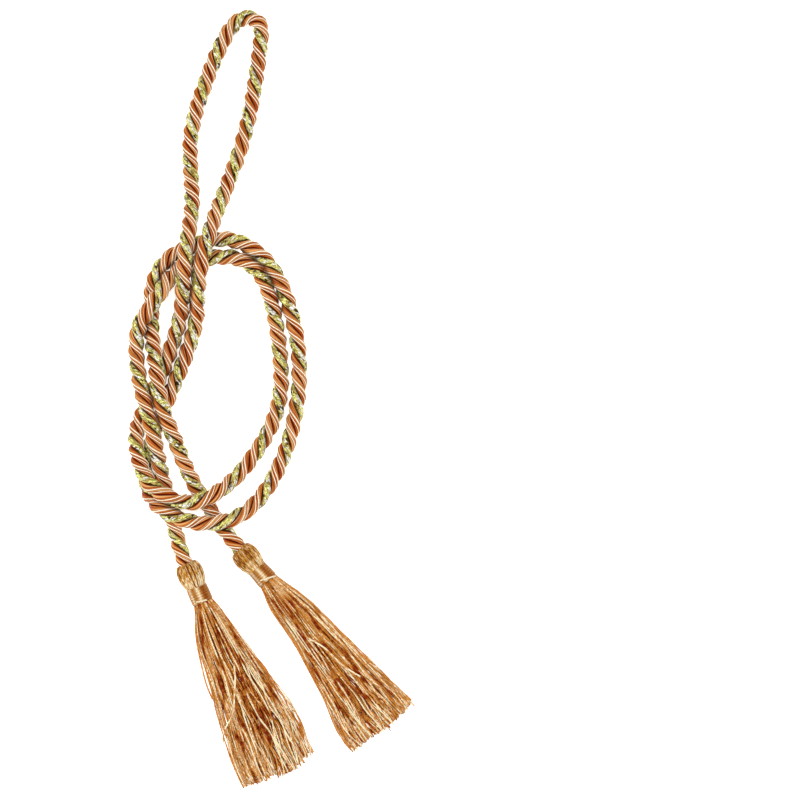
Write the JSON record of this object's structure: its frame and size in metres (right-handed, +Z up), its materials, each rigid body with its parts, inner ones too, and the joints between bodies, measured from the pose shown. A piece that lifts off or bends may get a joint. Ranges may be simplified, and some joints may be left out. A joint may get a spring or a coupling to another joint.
{
  "type": "curtain tieback with tassels",
  "caption": "Twisted rope wound into rings with a long hook loop, its ends finished in bound tassels with spread skirts, lying flat.",
  "frame": {"origin": "middle of the lying tieback's box, on the surface that it lies on", "axes": "+Y towards the hook loop, -Y towards the tassels, +Z up from the surface"},
  "size_m": [0.1248, 0.3407, 0.0173],
  "materials": {
    "rope": "satin twisted rope with a gold metallic ply",
    "tassel_yarn": "lustrous rayon yarn",
    "binding_thread": "lustrous wound thread"
  },
  "bodies": {
    "root": {"cord": "rope", "tassel_left": "tassel_yarn", "tassel_right": "tassel_yarn", "binding_left": "binding_thread", "binding_right": "binding_thread"}
  },
  "joints": []
}
